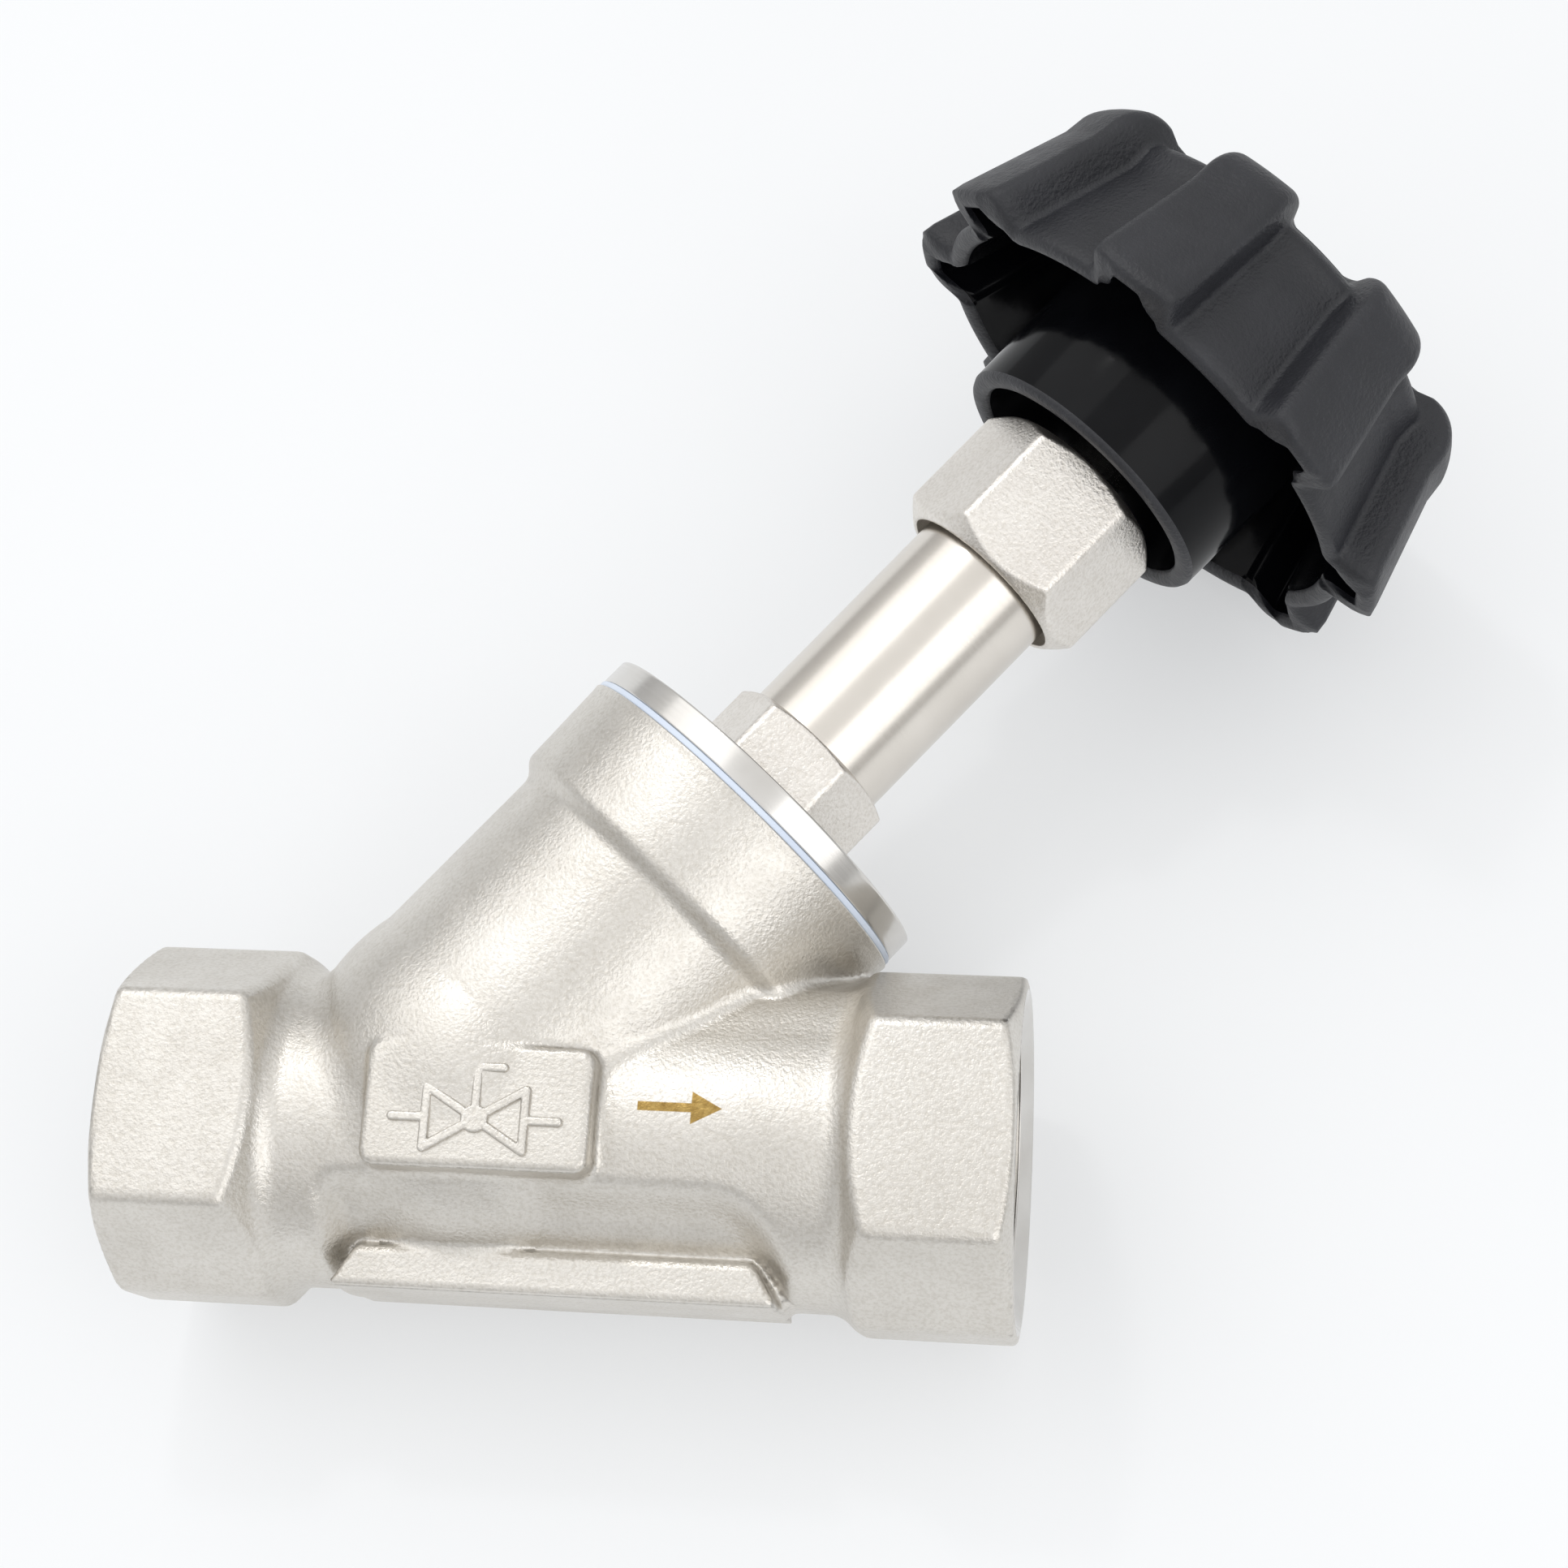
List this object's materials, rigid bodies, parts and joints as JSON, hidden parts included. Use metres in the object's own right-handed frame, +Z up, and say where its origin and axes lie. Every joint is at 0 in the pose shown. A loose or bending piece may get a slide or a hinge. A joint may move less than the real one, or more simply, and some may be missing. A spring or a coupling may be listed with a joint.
{
  "type": "globe valve",
  "caption": "Manual Y-pattern globe valve with female threaded hexagon ends, an inclined bonnet and a black lobed handwheel on a rising stem.",
  "frame": {"origin": "middle of the bounding box's bottom face, on the surface the valve lies on", "axes": "+X along the pipe towards the outlet, +Y level across the pipe on the handwheel's side, +Z up, out of the surface and close to the normal of the valve's plane of symmetry"},
  "size_m": [0.1764, 0.1728, 0.0858],
  "materials": {
    "cast_stainless": "investment-cast stainless steel, blasted, with a fine grain and soft edges",
    "machined_stainless": "turned and polished stainless steel",
    "black_plastic": "moulded glass-filled polyamide with a fine matte grain",
    "white_fluoropolymer": "smooth waxy white fluoropolymer",
    "bronze": "turned bronze",
    "black_rubber": "smooth moulded rubber",
    "spring_steel": "drawn spring wire"
  },
  "bodies": {
    "valve": {"valve_body": "cast_stainless", "bonnet_gasket": "white_fluoropolymer", "bonnet": "machined_stainless", "guide_bush": "bronze", "bonnet_tube": "machined_stainless", "packing_spring": "spring_steel", "packing_washer": "machined_stainless", "packing_ring_1": "white_fluoropolymer", "packing_ring_2": "white_fluoropolymer", "packing_ring_3": "white_fluoropolymer", "packing_ring_4": "white_fluoropolymer", "packing_gland": "machined_stainless", "stem_nut": "bronze", "top_nut": "cast_stainless", "wiper_ring": "black_rubber"},
    "plug_group": {"plug": "machined_stainless", "seat_seal": "white_fluoropolymer", "seal_clamp": "machined_stainless", "seal_nut": "machined_stainless", "stem_retainer": "machined_stainless"},
    "spindle": {"stem": "machined_stainless", "wheel_washer": "machined_stainless", "wheel_nut": "machined_stainless", "handwheel": "black_plastic", "wheel_cap": "black_plastic"}
  },
  "joints": [
    {"name": "plug_lift", "type": "slide", "parent": "valve", "child": "plug_group", "axis": [0.6534, 0.7474, 0.1201], "range_m": [-0.0151, 0]},
    {"name": "handwheel_turn", "type": "hinge", "parent": "plug_group", "child": "spindle", "pos_m": [0.04387, 0.04286, 0.04271], "axis": [0.6534, 0.7474, 0.1201], "range_deg": [-1800, 0]}
  ],
  "couplings": [
    {"joint": "plug_lift", "follows": "handwheel_turn", "m_per_rad": 0.00047746}
  ]
}
